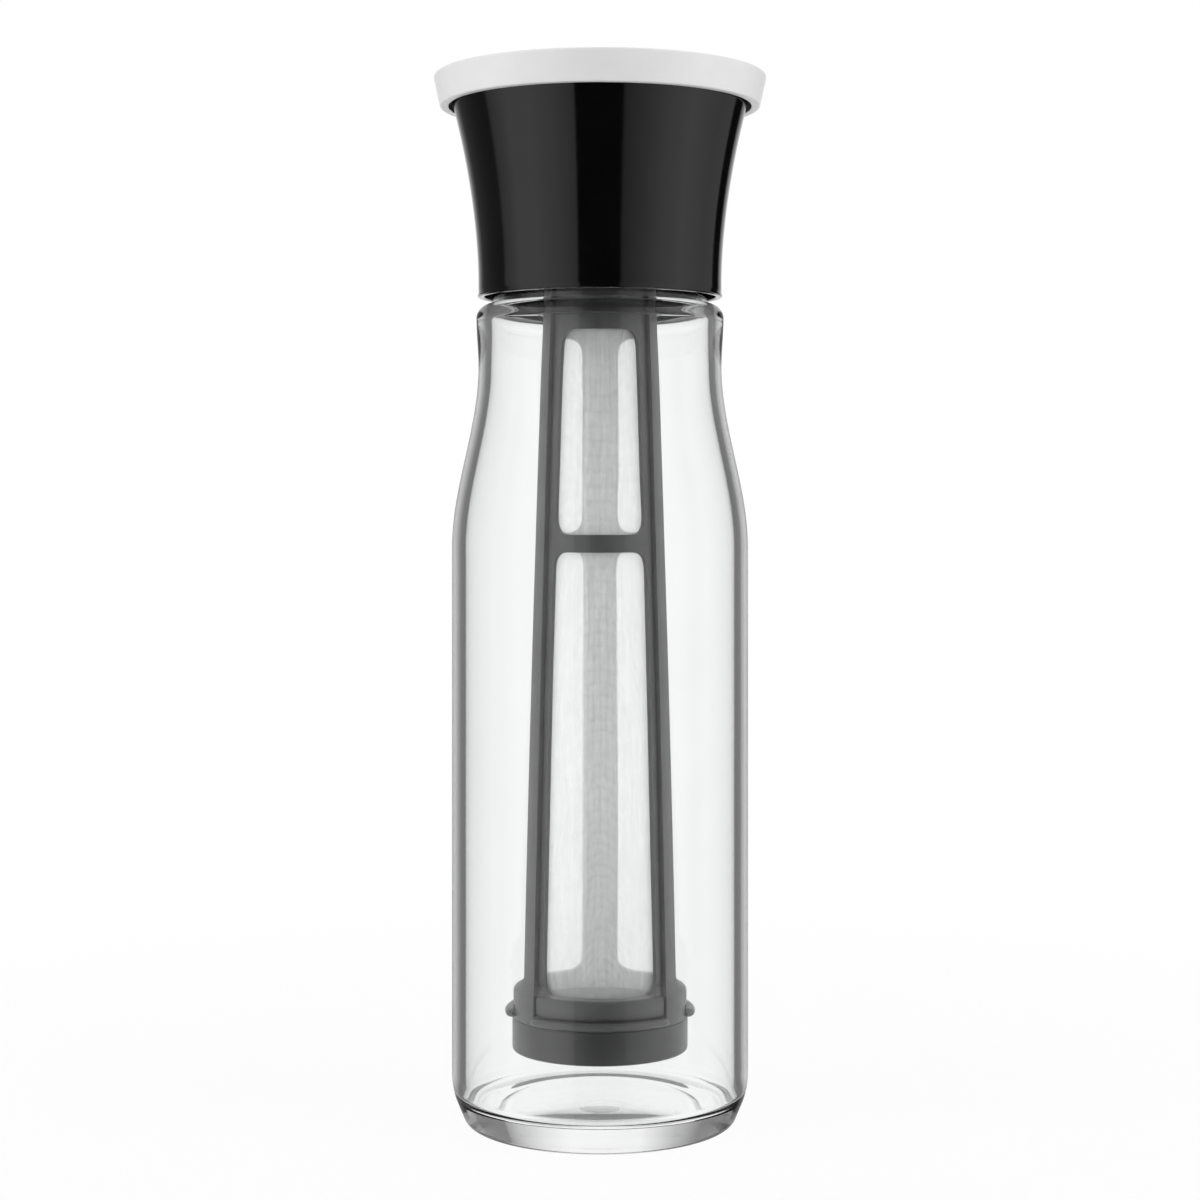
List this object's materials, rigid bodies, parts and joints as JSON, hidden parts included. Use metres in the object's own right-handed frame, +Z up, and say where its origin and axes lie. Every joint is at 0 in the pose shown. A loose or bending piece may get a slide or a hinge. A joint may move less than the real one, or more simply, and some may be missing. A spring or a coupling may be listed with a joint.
{
  "type": "infusion carafe",
  "caption": "Clear glass carafe with a black flared pouring collar, a white pull-off lid and a tapered mesh infuser hanging from the collar.",
  "frame": {"origin": "centre of the glass base, on the surface it stands on", "axes": "+Z up along the bottle's axis, -Y towards the infuser's front window, +X to the right seen from the front"},
  "size_m": [0.0942, 0.0942, 0.2966],
  "materials": {
    "clear_glass": "clear polished",
    "gloss_black": "high gloss",
    "satin_white": "satin",
    "dark_grey": "satin moulded",
    "fine_mesh": "fine woven mesh",
    "clear_rubber": "translucent satin"
  },
  "bodies": {
    "bottle": {"glass_bottle": "clear_glass"},
    "neck_seal": {"neck_gasket": "clear_rubber"},
    "collar": {"collar_skirt": "gloss_black", "neck_sleeve": "gloss_black", "pour_funnel": "gloss_black", "infuser_hub": "gloss_black"},
    "lid": {"lid_cap": "satin_white", "lid_plug": "gloss_black", "plug_seal": "clear_rubber"},
    "infuser": {"infuser_frame": "dark_grey", "infuser_mesh": "fine_mesh"},
    "foot_cap": {"end_cap": "dark_grey", "end_cap_seal": "clear_rubber"}
  },
  "joints": [
    {"name": "collar_lift", "type": "slide", "parent": "bottle", "child": "neck_seal", "axis": [0, 0, 1], "range_m": [0, 0.24]},
    {"name": "collar_turn", "type": "hinge", "parent": "neck_seal", "child": "collar", "pos_m": [0, 0, 0.2503], "axis": [0, 0, 1], "range_deg": [0, 45]},
    {"name": "lid_lift", "type": "slide", "parent": "collar", "child": "lid", "axis": [0, 0, 1], "range_m": [0, 0.05]},
    {"name": "infuser_pull", "type": "slide", "parent": "collar", "child": "infuser", "axis": [0, 0, -1], "range_m": [0, 0.0062]},
    {"name": "end_cap_pull", "type": "slide", "parent": "infuser", "child": "foot_cap", "axis": [0, 0, -1], "range_m": [0, 0.0056]}
  ]
}
